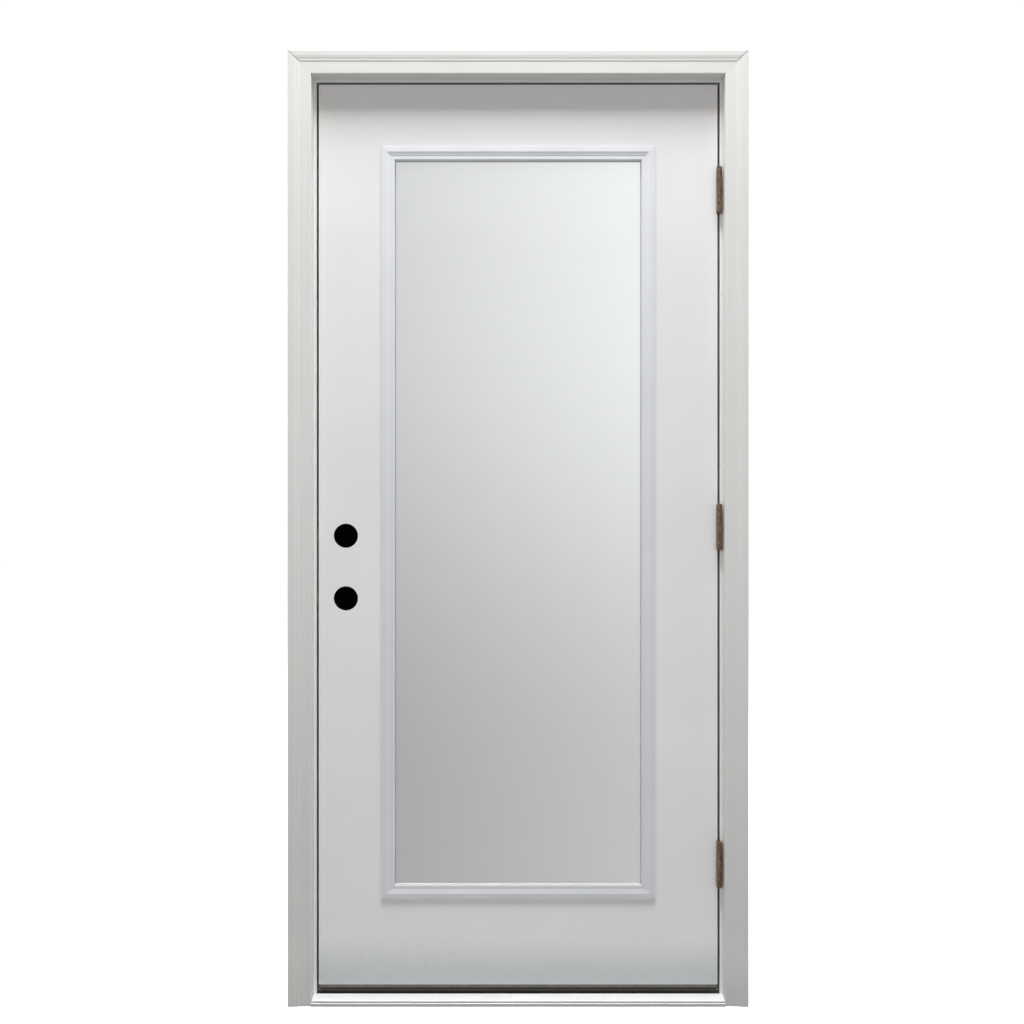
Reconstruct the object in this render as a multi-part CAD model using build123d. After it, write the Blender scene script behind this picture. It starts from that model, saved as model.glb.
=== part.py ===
"""A pre-hung steel exterior door with a full-height glass light, opening outwards.

The unit is a rabbeted wooden frame with a moulded casing round its outer face, an aluminium sill,
and one insulated steel leaf on three five-knuckle butt hinges.  Millimetres.  +X is to the right
as seen from outdoors, +Y goes indoors, +Z is up.  The origin is on the underside of the sill,
midway between the jambs, in the plane of the wall's outer face.
"""

import os
from math import radians, tan

from build123d import *

INCH = 25.4

# The leaf and the doorway
LEAF_W = 35 * INCH
LEAF_H = 79 * INCH
LEAF_T = 1.75 * INCH
LEAF_BOTTOM = 35.0               # height of the leaf's lower edge above the sill's underside
LEAF_TOP = LEAF_BOTTOM + LEAF_H
LEAF_GAP = 5.1                   # running gap beside and above the leaf
OPENING_W = LEAF_W + 2 * LEAF_GAP    # between the rabbets of the two side jambs
HEAD_Z = LEAF_TOP + LEAF_GAP     # underside of the head jamb's rabbet
LEAF_X = LEAF_W / 2
OPENING_X = OPENING_W / 2

# Wooden jambs, rabbeted on the outdoor side, with a kerf that holds the weatherstrip
JAMB_T = 0.75 * INCH
JAMB_DEPTH = 4.5625 * INCH
STOP_T = 0.5 * INCH              # how far the stop stands into the opening
RABBET = 54.0                    # depth of the rabbet, front edge to stop
KERF_W, KERF_DEPTH, KERF_IN = 2.8, 8.5, 1.0
SOFT_CLEAR = 1.0                 # the seals stop this far short of the closed leaf
JAMB_OUT_X = OPENING_X + JAMB_T
STOP_X = OPENING_X - STOP_T
STOP_Z = HEAD_Z - STOP_T

# Moulded casing, mitred at the top corners
CASING_W = 2 * INCH
CASING_T = 1.25 * INCH
CASING_FLAT_T = 27.5             # thickness of the wide inner flat
REVEAL = 0.25 * INCH             # jamb edge left showing beside the casing
CASING_IN_X = OPENING_X + REVEAL
CASING_OUT_X = CASING_IN_X + CASING_W
CASING_IN_Z = HEAD_Z + REVEAL
CASING_OUT_Z = CASING_IN_Z + CASING_W

# Sill
NOSE_Y, NOSE_Z = -31.0, 7.2      # the drip nosing's front and the top of its lip
NOSE_WALL = 2.2
TREAD_FRONT_Y, TREAD_FRONT_Z = -27.0, 10.4
GROOVE_Y, GROOVE_Z = -26.0, 9.5  # drip groove under the tread's front edge
RISER_Y, RISER_Z = 51.5, 46.0
RISER_WALL = 7.0                 # the riser's web, deep enough for the bumper's slot
TREAD_BACK_Z = 19.4
PLATE_T = 1.8                    # wall of the aluminium extrusions
EDGE_R = 1.5                     # rounding of the riser's upper edges
BASE_BACK_Z = 22.0               # the riser's skirt hides the composite above this height
SLOT_Z = (36.0, 43.0)            # the bumper's slot in the riser: mouth, then the wider back
SLOT_BACK_Z = (37.2, 41.8)
SLOT_MOUTH, SLOT_DEPTH = 3.0, 4.5
BUMPER_EASE = 0.6                # how far the bumper's foot stays inside its slot
SILL_END_GAP = 0.2

# Leaf construction
SKIN_T = 0.8
SKIN_RETURN = 6.0                # skin folded back along the two long edges
LOCK_BEVEL = 2.3                 # the lock edge is planed back this far on the indoor side
STILE_W = 1.25 * INCH
RAIL_H = 1.25 * INCH
LOCK_BLOCK_W, LOCK_BLOCK_H = 108.0, 330.0

# Lock preparation
BACKSET = 2.375 * INCH
CROSS_BORE_R = 2.125 * INCH / 2
EDGE_BORE_R = 0.5 * INCH
LATCH_Z = 896.0
DEADBOLT_Z = LATCH_Z + 5.5 * INCH
BORE_X = -LEAF_X + BACKSET
FACEPLATE_W, FACEPLATE_H, FACEPLATE_DEPTH = 1 * INCH, 2.25 * INCH, 3.2
STRIKE_W, STRIKE_H, STRIKE_DEPTH = 1.125 * INCH, 2.75 * INCH, 2.0
STRIKE_BORE_R = 1.0625 * INCH / 2

# Full glass light
LITE_W, LITE_H = 24 * INCH, 66 * INCH    # outside of the moulded lite frame
LITE_Z = 1065.0                  # its middle
LITE_FACE = 34.0                 # width of the moulding
LITE_RISE = 11.5                 # how far its ridge stands off the leaf
CUTOUT_CLEAR = 15.0              # from the moulding's outer edge in to the leaf's cut-out
GLASS_W, GLASS_H = 22 * INCH, 64 * INCH
PANE_T, UNIT_T = 3.2, 1 * INCH
SPACER_W, SPACER_INSET = 6.4, 1.0
PANE_Y = (LEAF_T - UNIT_T) / 2   # depth of the outdoor glass face behind the leaf's face

# Hinges
HINGE_H = 4 * INCH
HINGE_ZS = (1804.6, 1055.0, 305.4)
HINGE_X = LEAF_X + LEAF_GAP / 2
HINGE_Y = -7.5
KNUCKLE_R = 6.5
PIN_R = 3.0
LEAF_PLATE_T = 2.4
PLATE_END_Y = 38.1
PLATE_CORNER_R = 0.625 * INCH
RUNNING = 0.08                   # radial play of the moving knuckles on the pin
KNUCKLES, KNUCKLE_GAP = 5, 0.4
TIP_R, TIP_H, TIP_CHAMFER = 4.0, 1.4, 0.8

# Door-bottom sweep
SWEEP_BASE_H = 6.5
SWEEP_FIN_T = 1.5
SWEEP_FIN_YS = (4.0, 14.5, 25.0, 35.5)
SWEEP_CLEAR = 5.2                # fins to the sill's tread


# Profiles and bars

def section(path, place, plane):
    """A closed face on a plane from a path of (u, v) points, or (middle, end) pairs for arcs."""
    edges = []
    start = path[0]
    for step in [*path[1:], path[0]]:
        if isinstance(step[0], tuple):
            middle, end = step
            edges.append(ThreePointArc(place(*start), place(*middle), place(*end)))
        elif step == start:
            continue
        else:
            end = step
            edges.append(Line(place(*start), place(*end)))
        start = end
    return plane * make_face(Wire(edges))


def upright_bar(path, place, low, high):
    """A bar with a plan section, running from one height to another."""
    return extrude(section(path, place, Plane.XY.offset(low)), high - low)


def level_bar(path, place, left, right):
    """A bar with an upright section across the wall, running from left to right."""
    return extrude(section(path, place, Plane.YZ.offset(left)), right - left)


def straight(u, v):
    return (u, v)


def prism(points, front, back):
    """A block with a front outline of (x, z) points, between two depths."""
    face = Plane.XZ.offset(-back) * make_face(Polyline(*points, close=True))
    return extrude(face, back - front)


def block(x0, x1, y0, y1, z0, z1):
    """A rectangular block between two corners."""
    size = Box(x1 - x0, y1 - y0, z1 - z0)
    return Pos((x0 + x1) / 2, (y0 + y1) / 2, (z0 + z1) / 2) * size


def rod_y(x, z, radius, y0, y1):
    """A round bar along Y."""
    return Pos(x, (y0 + y1) / 2, z) * Rot(90, 0, 0) * Cylinder(radius, y1 - y0)


def rod_x(y, z, radius, x0, x1):
    """A round bar along X."""
    return Pos((x0 + x1) / 2, y, z) * Rot(0, 90, 0) * Cylinder(radius, x1 - x0)


# Casing

CASING_PATH = [
    (0.0, 0.0),
    (0.0, CASING_FLAT_T - 1.5),
    ((0.45, CASING_FLAT_T - 0.45), (1.5, CASING_FLAT_T)),
    (30.8, CASING_FLAT_T + 0.3),
    (31.2, CASING_FLAT_T + 1.9),
    (33.6, CASING_FLAT_T + 1.9),
    (34.0, CASING_FLAT_T + 1.2),
    ((39.4, CASING_FLAT_T + 2.0), (42.4, CASING_T - 0.4)),
    (43.6, CASING_T),
    (CASING_W - 3.0, CASING_T),
    ((CASING_W - 0.9, CASING_T - 0.9), (CASING_W, CASING_T - 3.0)),
    (CASING_W, 0.0),
]


def make_casing():
    """Two legs and a head, cut from one moulding and mitred at 45 degrees."""
    sides = {}
    for name, side in (("left", -1), ("right", 1)):
        bar = upright_bar(
            CASING_PATH,
            lambda u, v, side=side: (side * (CASING_IN_X + u), -v),
            0.0,
            CASING_OUT_Z,
        )
        outline = [
            (side * CASING_IN_X, 0.0),
            (side * CASING_OUT_X, 0.0),
            (side * CASING_OUT_X, CASING_OUT_Z),
            (side * CASING_IN_X, CASING_IN_Z),
        ]
        sides["casing_" + name] = bar & prism(outline, -CASING_T, 0.0)
    bar = level_bar(
        CASING_PATH, lambda u, v: (-v, CASING_IN_Z + u), -CASING_OUT_X, CASING_OUT_X
    )
    outline = [
        (-CASING_IN_X, CASING_IN_Z),
        (CASING_IN_X, CASING_IN_Z),
        (CASING_OUT_X, CASING_OUT_Z),
        (-CASING_OUT_X, CASING_OUT_Z),
    ]
    sides["casing_head"] = bar & prism(outline, -CASING_T, 0.0)
    return sides


# Jambs

def hinge_pocket(side_x, inward):
    """The mortises for the three hinge plates, cut into the face at side_x."""
    cut = None
    for z in HINGE_ZS:
        plate = hinge_plate_blank(side_x, inward, z)
        cut = plate if cut is None else cut + plate
    return cut


def hinge_plate_blank(face_x, inward, z):
    """One hinge plate lying flush in a face, from the front edge back, with two rounded corners."""
    low, high = z - HINGE_H / 2, z + HINGE_H / 2
    r = PLATE_CORNER_R
    s = r * (1 - 2**-0.5)
    path = [
        (0.0, low),
        (PLATE_END_Y - r, low),
        ((PLATE_END_Y - s, low + s), (PLATE_END_Y, low + r)),
        (PLATE_END_Y, high - r),
        ((PLATE_END_Y - s, high - s), (PLATE_END_Y - r, high)),
        (0.0, high),
    ]
    x0, x1 = sorted((face_x, face_x + inward * LEAF_PLATE_T))
    return level_bar(path, straight, x0, x1)


def rounded_recess(face_x, inward, width, height, depth, z):
    """A recess for a faceplate or strike, with rounded ends, in the middle of the leaf's thickness."""
    plate = RectangleRounded(width, height, 6.0)
    x0, x1 = sorted((face_x, face_x + inward * depth))
    return extrude(Plane.YZ.offset(x0) * Pos(LEAF_T / 2, z) * plate, x1 - x0)


def side_kerf(side, low, high):
    """The slot for the weatherstrip's barb beside one side jamb."""
    x0, x1 = sorted((side * (OPENING_X - KERF_IN), side * (OPENING_X - KERF_IN - KERF_W)))
    return block(x0, x1, RABBET, RABBET + KERF_DEPTH, low, high)


def make_side_jamb(side):
    """A side jamb: a board with the stop left standing, the stop cut short to sit on the sill's riser."""
    board = block(*sorted((side * OPENING_X, side * JAMB_OUT_X)), 0.0, JAMB_DEPTH, 0.0, HEAD_Z)
    stop = block(*sorted((side * STOP_X, side * OPENING_X)), RABBET, JAMB_DEPTH, RISER_Z, STOP_Z)
    return board + stop - side_kerf(side, RISER_Z, STOP_Z)


def make_jambs():
    strike_jamb = make_side_jamb(-1)
    for z in (LATCH_Z, DEADBOLT_Z):
        strike_jamb -= rounded_recess(-OPENING_X, -1, STRIKE_W, STRIKE_H, STRIKE_DEPTH, z)
        strike_jamb -= rod_x(LEAF_T / 2, z, STRIKE_BORE_R, -JAMB_OUT_X - 1, -OPENING_X + 1)
    hinge_jamb = make_side_jamb(1) - hinge_pocket(OPENING_X, 1)
    board = block(-JAMB_OUT_X, JAMB_OUT_X, 0.0, JAMB_DEPTH, HEAD_Z, HEAD_Z + JAMB_T)
    stop = block(-OPENING_X, OPENING_X, RABBET, JAMB_DEPTH, STOP_Z, HEAD_Z)
    kerf_top = HEAD_Z - KERF_IN
    kerf = block(
        -OPENING_X, OPENING_X, RABBET, RABBET + KERF_DEPTH, kerf_top - KERF_W, kerf_top
    )
    head = board + stop - kerf
    for side in (-1, 1):
        head -= side_kerf(side, STOP_Z, HEAD_Z)
    return {"jamb_strike": strike_jamb, "jamb_hinge": hinge_jamb, "jamb_head": head}


# Weatherstrip: a foam bulb in the corner of the rabbet, with a barb in the kerf.
# u runs from the rabbet's face into the opening, v is the depth behind the wall's outer face.

STRIP_PATH = [
    (0.2, RABBET),
    (0.2, 50.5),
    (2.6, 47.6),
    (6.0, LEAF_T + SOFT_CLEAR),
    ((10.0, 46.6), (12.2, 50.0)),
    ((12.5, 52.2), (11.8, RABBET)),
    (KERF_IN + KERF_W - 0.3, RABBET),
    (KERF_IN + KERF_W - 0.3, RABBET + KERF_DEPTH - 1.5),
    (KERF_IN + KERF_W / 2, RABBET + KERF_DEPTH - 0.4),
    (KERF_IN + 0.3, RABBET + KERF_DEPTH - 1.5),
    (KERF_IN + 0.3, RABBET),
]


def make_weatherstrip():
    depth = RABBET + KERF_DEPTH
    inner_x, inner_z = STOP_X - 1.0, STOP_Z - 1.0
    outer_x, outer_z = OPENING_X, HEAD_Z
    strips = {}
    for name, side in (("strike", -1), ("hinge", 1)):
        bar = upright_bar(
            STRIP_PATH, lambda u, v, side=side: (side * (OPENING_X - u), v), RISER_Z, HEAD_Z
        )
        outline = [
            (side * inner_x, RISER_Z),
            (side * outer_x, RISER_Z),
            (side * outer_x, outer_z),
            (side * inner_x, inner_z),
        ]
        strips["weatherstrip_" + name] = bar & prism(outline, 0.0, depth)
    bar = level_bar(STRIP_PATH, lambda u, v: (v, HEAD_Z - u), -OPENING_X, OPENING_X)
    outline = [
        (-inner_x, inner_z),
        (inner_x, inner_z),
        (outer_x, outer_z),
        (-outer_x, outer_z),
    ]
    strips["weatherstrip_head"] = bar & prism(outline, 0.0, depth)
    return strips


# Sill

TREAD_SLOPE = (TREAD_BACK_Z - TREAD_FRONT_Z) / (RISER_Y - TREAD_FRONT_Y)


def tread_z(y):
    """Height of the tread's upper face at a depth."""
    return TREAD_FRONT_Z + TREAD_SLOPE * (y - TREAD_FRONT_Y)


def make_sill():
    """A composite base, an aluminium tread with a drip nosing, and a riser with a vinyl bumper."""
    step_y = GROOVE_Y + PLATE_T
    web_y = RISER_Y + RISER_WALL
    skirt_y = JAMB_DEPTH - PLATE_T
    under_nose = NOSE_Z - PLATE_T
    under_front = tread_z(step_y) - PLATE_T
    under_back = tread_z(RISER_Y) - PLATE_T
    under_riser = RISER_Z - PLATE_T
    shell = [
        (NOSE_Y + NOSE_WALL, 0.0),
        (NOSE_Y + NOSE_WALL, under_nose),
        (step_y, under_nose),
        (step_y, under_front),
        (RISER_Y, under_back),
    ]
    tread = [
        (RISER_Y, tread_z(RISER_Y)),
        (TREAD_FRONT_Y, TREAD_FRONT_Z),
        ((TREAD_FRONT_Y - 0.3, TREAD_FRONT_Z - 0.1), (TREAD_FRONT_Y - 0.4, TREAD_FRONT_Z - 0.4)),
        (TREAD_FRONT_Y - 0.4, GROOVE_Z + 0.2),
        (GROOVE_Y, GROOVE_Z),
        (GROOVE_Y, NOSE_Z + 0.3),
        (NOSE_Y + 0.8, NOSE_Z),
        ((NOSE_Y + 0.2, NOSE_Z - 0.2), (NOSE_Y, NOSE_Z - 0.8)),
        (NOSE_Y, 0.0),
        *shell,
    ]
    riser = [
        (RISER_Y, under_back),
        (RISER_Y, SLOT_Z[0]),
        (RISER_Y + SLOT_MOUTH, SLOT_Z[0]),
        (RISER_Y + SLOT_MOUTH, SLOT_BACK_Z[0]),
        (RISER_Y + SLOT_DEPTH, SLOT_BACK_Z[0]),
        (RISER_Y + SLOT_DEPTH, SLOT_BACK_Z[1]),
        (RISER_Y + SLOT_MOUTH, SLOT_BACK_Z[1]),
        (RISER_Y + SLOT_MOUTH, SLOT_Z[1]),
        (RISER_Y, SLOT_Z[1]),
        (RISER_Y, RISER_Z - EDGE_R),
        ((RISER_Y + 0.3 * EDGE_R, RISER_Z - 0.3 * EDGE_R), (RISER_Y + EDGE_R, RISER_Z)),
        (JAMB_DEPTH - EDGE_R, RISER_Z),
        (
            (JAMB_DEPTH - 0.3 * EDGE_R, RISER_Z - 0.3 * EDGE_R),
            (JAMB_DEPTH, RISER_Z - EDGE_R),
        ),
        (JAMB_DEPTH, BASE_BACK_Z),
        (skirt_y, BASE_BACK_Z),
        (skirt_y, under_riser),
        (web_y, under_riser),
        (web_y, under_back),
    ]
    base = [
        *shell,
        (web_y, under_back),
        (web_y, under_riser),
        (skirt_y, under_riser),
        (skirt_y, BASE_BACK_Z),
        (JAMB_DEPTH, BASE_BACK_Z),
        (JAMB_DEPTH, 0.0),
    ]
    low, high = SLOT_Z[0] + BUMPER_EASE, SLOT_Z[1] - BUMPER_EASE
    neck_low, neck_high = SLOT_BACK_Z[0] + BUMPER_EASE / 2, SLOT_BACK_Z[1] - BUMPER_EASE / 2
    mouth, depth = SLOT_MOUTH - BUMPER_EASE / 2, SLOT_DEPTH - BUMPER_EASE / 2
    bumper = [
        (RISER_Y, low),
        (RISER_Y + mouth, low),
        (RISER_Y + mouth, neck_low),
        (RISER_Y + depth, neck_low),
        (RISER_Y + depth, neck_high),
        (RISER_Y + mouth, neck_high),
        (RISER_Y + mouth, high),
        (RISER_Y, high),
        ((LEAF_T + SOFT_CLEAR, (low + high) / 2), (RISER_Y, low)),
    ]
    back_x = OPENING_X - SILL_END_GAP
    nose_x = CASING_IN_X - SILL_END_GAP
    ends = [
        (-nose_x, NOSE_Y),
        (nose_x, NOSE_Y),
        (nose_x, 0.0),
        (back_x, 0.0),
        (back_x, JAMB_DEPTH),
        (-back_x, JAMB_DEPTH),
        (-back_x, 0.0),
        (-nose_x, 0.0),
    ]
    plan = extrude(make_face(Polyline(*ends, close=True)), RISER_Z)
    return {
        "sill_base": level_bar(base, straight, -nose_x, nose_x) & plan,
        "sill_tread": level_bar(tread, straight, -nose_x, nose_x) & plan,
        "sill_riser": level_bar(riser, straight, -back_x, back_x),
        "sill_bumper": level_bar(bumper, straight, -back_x, back_x),
    }


# Steel leaf

def lock_edge(y):
    """X of the bevelled lock edge at a depth behind the leaf's outer face."""
    return -LEAF_X + LOCK_BEVEL * y / LEAF_T


def make_skins():
    """Two sheets of steel, each folded back along the hinge edge and the bevelled lock edge."""
    far = LEAF_T - SKIN_RETURN
    outer = [
        (LEAF_X, 0.0),
        (LEAF_X, SKIN_RETURN),
        (LEAF_X - SKIN_T, SKIN_RETURN),
        (LEAF_X - SKIN_T, SKIN_T),
        (lock_edge(SKIN_T) + SKIN_T, SKIN_T),
        (lock_edge(SKIN_RETURN) + SKIN_T, SKIN_RETURN),
        (lock_edge(SKIN_RETURN), SKIN_RETURN),
        (lock_edge(0.0), 0.0),
    ]
    inner = [
        (LEAF_X, LEAF_T),
        (LEAF_X, far),
        (LEAF_X - SKIN_T, far),
        (LEAF_X - SKIN_T, LEAF_T - SKIN_T),
        (lock_edge(LEAF_T - SKIN_T) + SKIN_T, LEAF_T - SKIN_T),
        (lock_edge(far) + SKIN_T, far),
        (lock_edge(far), far),
        (lock_edge(LEAF_T), LEAF_T),
    ]
    skins = {}
    for name, path in (("skin_outdoor", outer), ("skin_indoor", inner)):
        skin = upright_bar(path, straight, LEAF_BOTTOM, LEAF_TOP)
        skin -= lite_cutout()
        for z in (LATCH_Z, DEADBOLT_Z):
            skin -= rod_y(BORE_X, z, CROSS_BORE_R, -1.0, LEAF_T + 1.0)
        skins[name] = skin
    skins["skin_outdoor"] -= hinge_pocket(LEAF_X, -1)
    return skins


def lite_cutout():
    """The hole through the leaf for the glass light."""
    half_w = LITE_W / 2 - CUTOUT_CLEAR
    half_h = LITE_H / 2 - CUTOUT_CLEAR
    return block(-half_w, half_w, -1.0, LEAF_T + 1.0, LITE_Z - half_h, LITE_Z + half_h)


def make_leaf_frame():
    """Stiles, rails, lock block and foam between the skins."""
    near, far = SKIN_T, LEAF_T - SKIN_T
    fold, far_fold = SKIN_RETURN, LEAF_T - SKIN_RETURN
    stile_in = LEAF_X - STILE_W
    hinge_path = [
        (stile_in, near),
        (LEAF_X - SKIN_T, near),
        (LEAF_X - SKIN_T, fold),
        (LEAF_X, fold),
        (LEAF_X, far_fold),
        (LEAF_X - SKIN_T, far_fold),
        (LEAF_X - SKIN_T, far),
        (stile_in, far),
    ]
    lock_path = [
        (-stile_in, near),
        (lock_edge(near) + SKIN_T, near),
        (lock_edge(fold) + SKIN_T, fold),
        (lock_edge(fold), fold),
        (lock_edge(far_fold), far_fold),
        (lock_edge(far_fold) + SKIN_T, far_fold),
        (lock_edge(far) + SKIN_T, far),
        (-stile_in, far),
    ]
    hinge_stile = upright_bar(hinge_path, straight, LEAF_BOTTOM, LEAF_TOP)
    lock_stile = upright_bar(lock_path, straight, LEAF_BOTTOM, LEAF_TOP)
    block_z = (LATCH_Z + DEADBOLT_Z) / 2
    lock_block = block(
        -stile_in,
        -stile_in + LOCK_BLOCK_W,
        near,
        far,
        block_z - LOCK_BLOCK_H / 2,
        block_z + LOCK_BLOCK_H / 2,
    )
    core = block(-stile_in, stile_in, near, far, LEAF_BOTTOM + RAIL_H, LEAF_TOP - RAIL_H)
    core -= lite_cutout()
    core -= lock_block
    for z in (LATCH_Z, DEADBOLT_Z):
        edge_bore = rod_x(LEAF_T / 2, z, EDGE_BORE_R, -LEAF_X - 1.0, BORE_X)
        lock_stile -= edge_bore
        lock_stile -= rounded_recess(
            -LEAF_X, 1, FACEPLATE_W, FACEPLATE_H, FACEPLATE_DEPTH, z
        )
        lock_block -= edge_bore
        lock_block -= rod_y(BORE_X, z, CROSS_BORE_R, 0.0, LEAF_T)
    return {
        "stile_hinge": hinge_stile - hinge_pocket(LEAF_X, -1),
        "stile_lock": lock_stile,
        "lock_block": lock_block,
        "rail_top": block(-stile_in, stile_in, near, far, LEAF_TOP - RAIL_H, LEAF_TOP),
        "rail_bottom": block(
            -stile_in, stile_in, near, far, LEAF_BOTTOM, LEAF_BOTTOM + RAIL_H
        ),
        "foam_core": core,
    }


# Glass light: u runs from the moulding's outer edge towards the glass, v stands off the leaf's face

LITE_LEG = (CUTOUT_CLEAR + 1.0, (LITE_W - GLASS_W) / 2 - 0.5)
LITE_LEG_END = 0.2 - LEAF_T / 2
LITE_PATH = [
    (0.0, 0.0),
    (0.0, 2.0),
    ((0.3, 2.7), (1.0, 3.0)),
    (3.2, 3.5),
    (4.2, 5.0),
    ((8.0, 9.7), (13.2, LITE_RISE)),
    (15.2, LITE_RISE),
    ((18.2, 8.7), (23.2, 7.4)),
    (24.0, 8.4),
    ((27.4, 10.2), (31.2, 10.3)),
    ((33.2, 9.4), (LITE_FACE, 7.6)),
    (LITE_FACE, -PANE_Y),
    (LITE_LEG[1], -PANE_Y),
    (LITE_LEG[1], LITE_LEG_END),
    (LITE_LEG[0], LITE_LEG_END),
    (LITE_LEG[0], 0.0),
]


def make_lite_frame(place_y):
    """One moulded lite frame: the profile carried round the light, mitred at each corner."""
    half_w, half_h = LITE_W / 2, LITE_H / 2
    inner_w, inner_h = half_w - LITE_FACE, half_h - LITE_FACE
    low, high = LITE_Z - half_h, LITE_Z + half_h
    inner_low, inner_high = LITE_Z - inner_h, LITE_Z + inner_h
    front, back = -LITE_RISE - 1.0, LEAF_T + LITE_RISE + 1.0
    bars = []
    for side in (-1, 1):
        bar = upright_bar(
            LITE_PATH, lambda u, v, side=side: (side * (half_w - u), place_y(v)), low, high
        )
        outline = [
            (side * half_w, low),
            (side * half_w, high),
            (side * inner_w, inner_high),
            (side * inner_w, inner_low),
        ]
        bars.append(bar & prism(outline, front, back))
    for edge, inner_edge, way in ((low, inner_low, 1), (high, inner_high, -1)):
        bar = level_bar(
            LITE_PATH, lambda u, v, edge=edge, way=way: (place_y(v), edge + way * u), -half_w, half_w
        )
        outline = [
            (-half_w, edge),
            (half_w, edge),
            (inner_w, inner_edge),
            (-inner_w, inner_edge),
        ]
        bars.append(bar & prism(outline, front, back))
    return bars[0] + bars[1] + bars[2] + bars[3]


def make_glass_light():
    half_w, half_h = GLASS_W / 2, GLASS_H / 2
    low, high = LITE_Z - half_h, LITE_Z + half_h
    far = LEAF_T - PANE_Y
    inset_w, inset_h = half_w - SPACER_INSET, half_h - SPACER_INSET
    spacer = block(
        -inset_w, inset_w, PANE_Y + PANE_T, far - PANE_T, LITE_Z - inset_h, LITE_Z + inset_h
    ) - block(
        -inset_w + SPACER_W, inset_w - SPACER_W, 0.0, LEAF_T,
        LITE_Z - inset_h + SPACER_W, LITE_Z + inset_h - SPACER_W,
    )
    return {
        "lite_frame_outdoor": make_lite_frame(lambda v: -v),
        "lite_frame_indoor": make_lite_frame(lambda v: LEAF_T + v),
        "glass_outdoor": block(-half_w, half_w, PANE_Y, PANE_Y + PANE_T, low, high),
        "glass_indoor": block(-half_w, half_w, far - PANE_T, far, low, high),
        "glass_spacer": spacer,
    }


# Hinges: five knuckles on one fixed pin, the second and fourth on the leaf's plate

def knuckle_spans(z):
    """Height ranges of the five knuckles of the hinge centred at z, from the top down."""
    pitch = (HINGE_H + KNUCKLE_GAP) / KNUCKLES
    tops = [z + HINGE_H / 2 - n * pitch for n in range(KNUCKLES)]
    return [(top - pitch + KNUCKLE_GAP, top) for top in tops]


def make_hinge_half(face_x, inward, z, spans, bore_r):
    """A hinge plate lying in its mortise, with its knuckles rolled round the pin in front of it."""
    half = hinge_plate_blank(face_x, inward, z)
    x0, x1 = sorted((face_x, face_x + inward * LEAF_PLATE_T))
    for low, high in spans:
        tongue = block(x0, x1, HINGE_Y, 0.0, low, high)
        barrel = Pos(HINGE_X, HINGE_Y, (low + high) / 2) * Cylinder(KNUCKLE_R, high - low)
        half = half + tongue + barrel
    bore = Pos(HINGE_X, HINGE_Y, z) * Cylinder(bore_r, HINGE_H + 2)
    return half - bore


def make_pin(z):
    """A fixed pin with a chamfered button on each end."""
    pin = Cylinder(PIN_R, HINGE_H)
    for way in (-1, 1):
        button = Pos(0, 0, way * (HINGE_H + TIP_H) / 2) * Cylinder(TIP_R, TIP_H)
        rim = button.edges().sort_by(Axis.Z)[0 if way < 0 else -1]
        pin += chamfer(rim, TIP_CHAMFER)
    return Pos(HINGE_X, HINGE_Y, z) * pin


def make_hinges():
    """The frame's halves, the leaf's halves and the pins, each kind as three separate solids."""
    halves = {"hinge_frame_halves": [], "hinge_leaf_halves": [], "hinge_pins": []}
    for z in HINGE_ZS:
        spans = knuckle_spans(z)
        halves["hinge_frame_halves"].append(make_hinge_half(OPENING_X, 1, z, spans[0::2], PIN_R))
        halves["hinge_leaf_halves"].append(
            make_hinge_half(LEAF_X, -1, z, spans[1::2], PIN_R + RUNNING)
        )
        halves["hinge_pins"].append(make_pin(z))
    return {name: Compound(children=solids) for name, solids in halves.items()}


# Sweep

def make_sweep():
    """A vinyl strip across the leaf's lower edge with four slanting fins."""
    base_low = LEAF_BOTTOM - SWEEP_BASE_H
    half = LEAF_X - LOCK_BEVEL - 0.5
    sweep = block(-half, half, 0.6, LEAF_T - 1.2, base_low, LEAF_BOTTOM)
    lean = tan(radians(12))
    for y in SWEEP_FIN_YS:
        tip = tread_z(y + SWEEP_FIN_T) + SWEEP_CLEAR
        drop = base_low - tip
        fin = [
            (y - SWEEP_FIN_T, base_low),
            (y + SWEEP_FIN_T, base_low),
            (y + SWEEP_FIN_T / 2 - lean * drop, tip),
            (y - SWEEP_FIN_T / 2 - lean * drop, tip),
        ]
        sweep += level_bar(fin, straight, -half, half)
    return {"door_sweep": sweep}


def main():
    os.makedirs("parts", exist_ok=True)
    pieces = {
        **make_casing(),
        **make_jambs(),
        **make_weatherstrip(),
        **make_sill(),
        **make_skins(),
        **make_leaf_frame(),
        **make_glass_light(),
        **make_hinges(),
        **make_sweep(),
    }
    for name, shape in pieces.items():
        export_step(shape, f"parts/{name}.step")


main()
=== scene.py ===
"""Looks for the pre-hung steel exterior door.

Finer mouldings, seals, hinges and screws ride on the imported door, every surface gets a painted,
metal, wood, vinyl or glass finish, and a plain pale studio with soft light stands round it.
Metres, in the part's own frame: X to the right seen from outdoors, Y indoors, Z up.
"""

from math import pi, radians

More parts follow.
